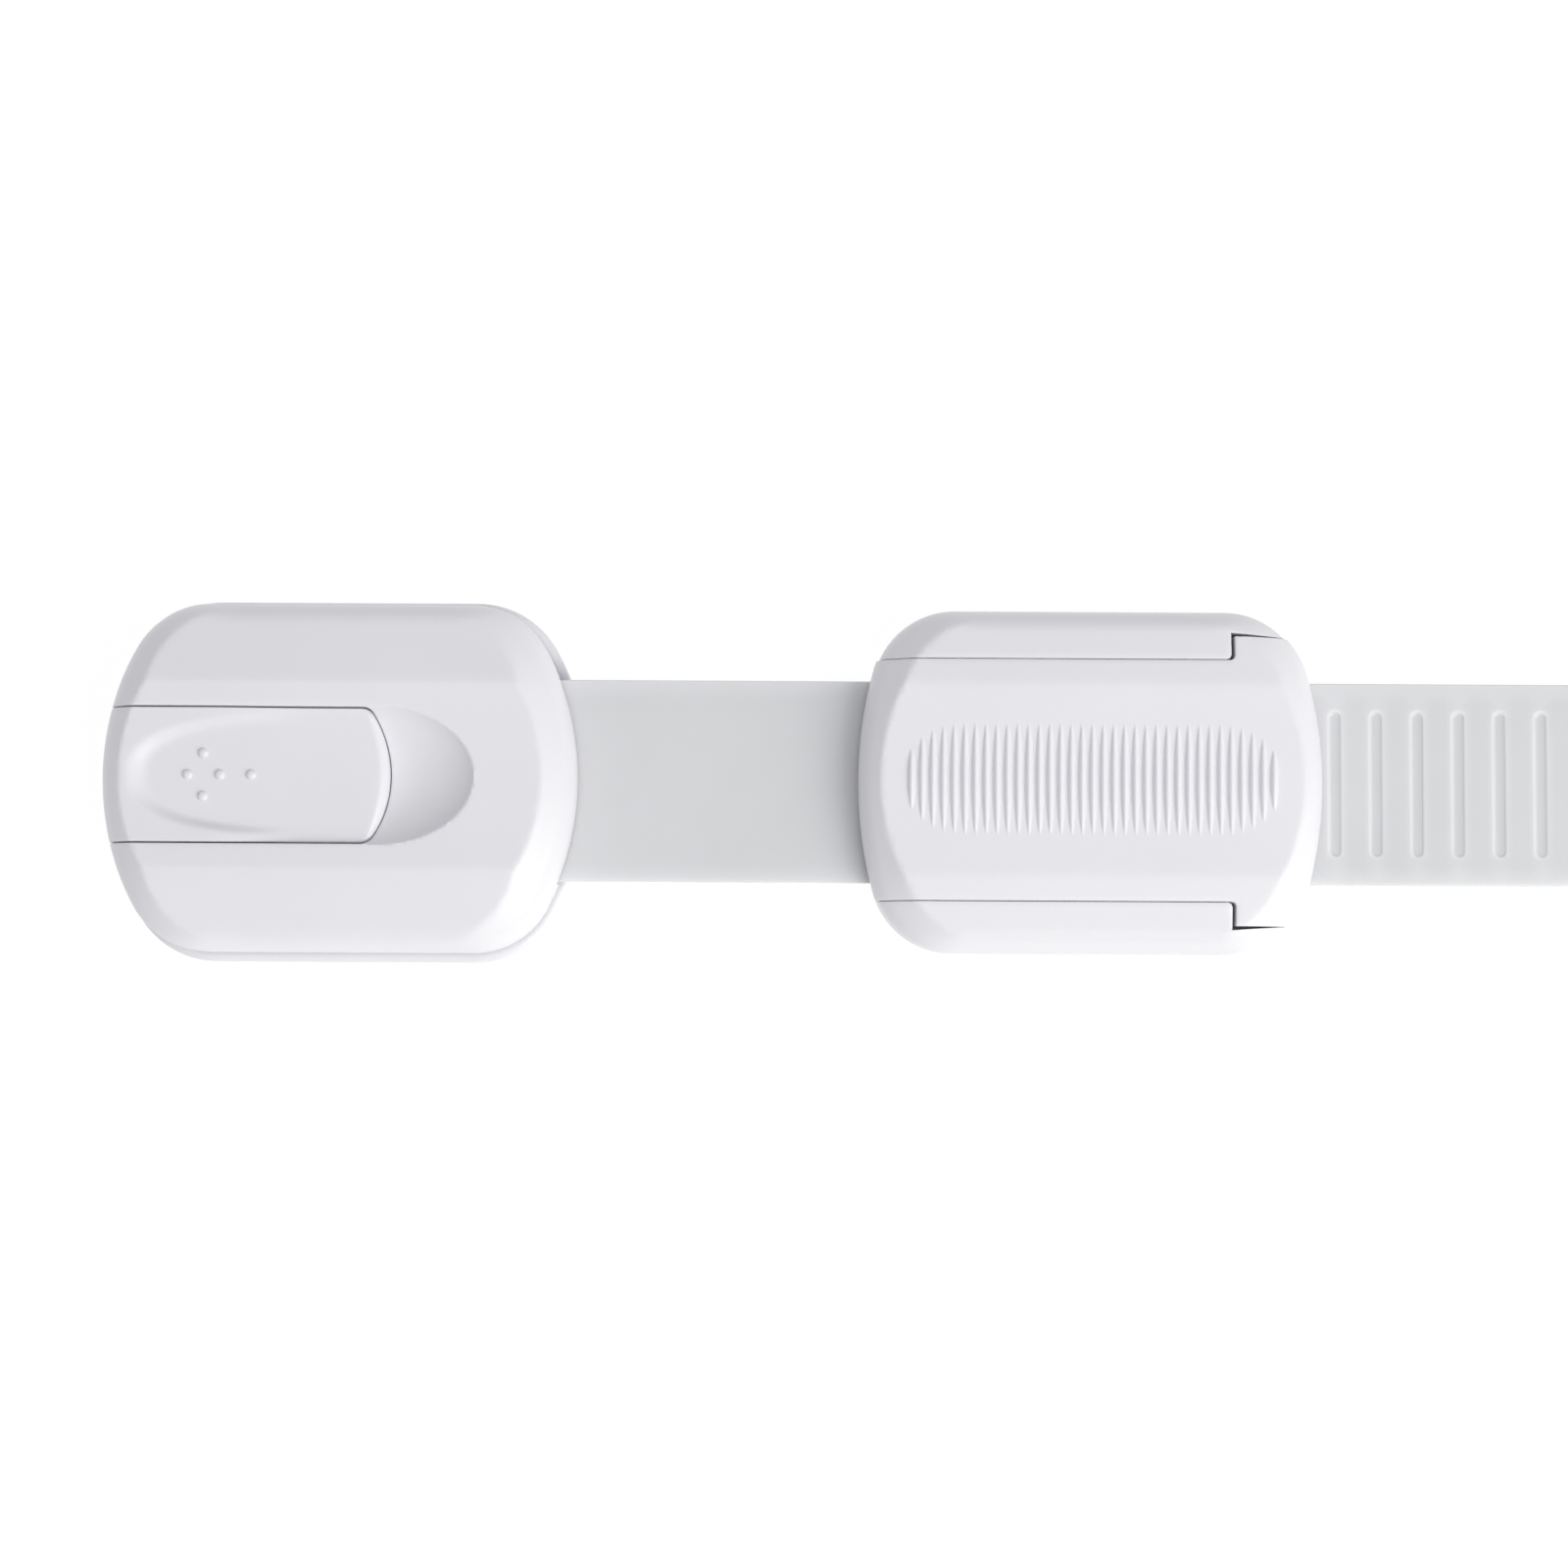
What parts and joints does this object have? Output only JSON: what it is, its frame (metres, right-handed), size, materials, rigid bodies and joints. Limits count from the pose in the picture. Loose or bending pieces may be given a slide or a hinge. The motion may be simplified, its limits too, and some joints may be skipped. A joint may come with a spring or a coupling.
{
  "type": "adhesive strap latch",
  "caption": "Adhesive adjustable safety strap latch: slide-button head on a stick-on base, slotted flexible strap, and an adjuster with a ribbed sliding lid.",
  "frame": {"origin": "centre of the latch base's adhesive face, on the surface that it sticks to", "axes": "+X along the strap from the latch head to the free end, +Y across the strap, +Z away from the surface"},
  "size_m": [0.1915, 0.0396, 0.014],
  "materials": {
    "white_plastic": "satin",
    "inner_plastic": "matte",
    "strap_plastic": "satin",
    "foam_tape": "matte",
    "steel": "satin"
  },
  "bodies": {
    "latch_base": {"latch_foam_pad": "foam_tape", "latch_base_plate": "white_plastic"},
    "head": {"head_housing": "white_plastic", "head_cover": "inner_plastic", "head_screw_1": "steel", "head_screw_2": "steel", "head_screw_3": "steel", "head_screw_4": "steel", "catch_clip": "steel", "button_spring_front": "steel", "button_spring_back": "steel", "strap_lead": "strap_plastic"},
    "button": {"release_button": "white_plastic"},
    "strap": {"strap_tail": "strap_plastic"},
    "adjuster": {"adjuster_foam_pad": "foam_tape", "adjuster_base": "inner_plastic", "adjuster_housing": "white_plastic", "adjuster_screw_1": "steel", "adjuster_screw_2": "steel", "adjuster_screw_3": "steel", "adjuster_screw_4": "steel", "strap_pawl": "inner_plastic"},
    "lid": {"sliding_lid": "white_plastic"}
  },
  "joints": [
    {"name": "head_swing", "type": "hinge", "parent": "latch_base", "child": "head", "pos_m": [0.0345, 0, 0.006], "axis": [0, 1, 0], "range_deg": [0, 60]},
    {"name": "button_slide", "type": "slide", "parent": "head", "child": "button", "axis": [-1, 0, 0], "range_m": [0, 0.003], "stiffness_N_per_m": 400, "springref_m": -0.005, "deforming": ["button_spring_front", "button_spring_back", "catch_clip"]},
    {"name": "strap_flex", "type": "hinge", "parent": "head", "child": "strap", "pos_m": [0.0345, 0, 0.006], "axis": [0, -1, 0], "range_deg": [0, 60]},
    {"name": "strap_adjust", "type": "slide", "parent": "strap", "child": "adjuster", "axis": [1, 0, 0], "range_m": [-0.01344, 0.05824], "deforming": ["strap_pawl"]},
    {"name": "lid_slide", "type": "slide", "parent": "adjuster", "child": "lid", "axis": [1, 0, 0], "range_m": [0, 0.01]}
  ],
  "couplings": [
    {"joint": "strap_flex", "follows": "head_swing", "ratio": 1}
  ]
}
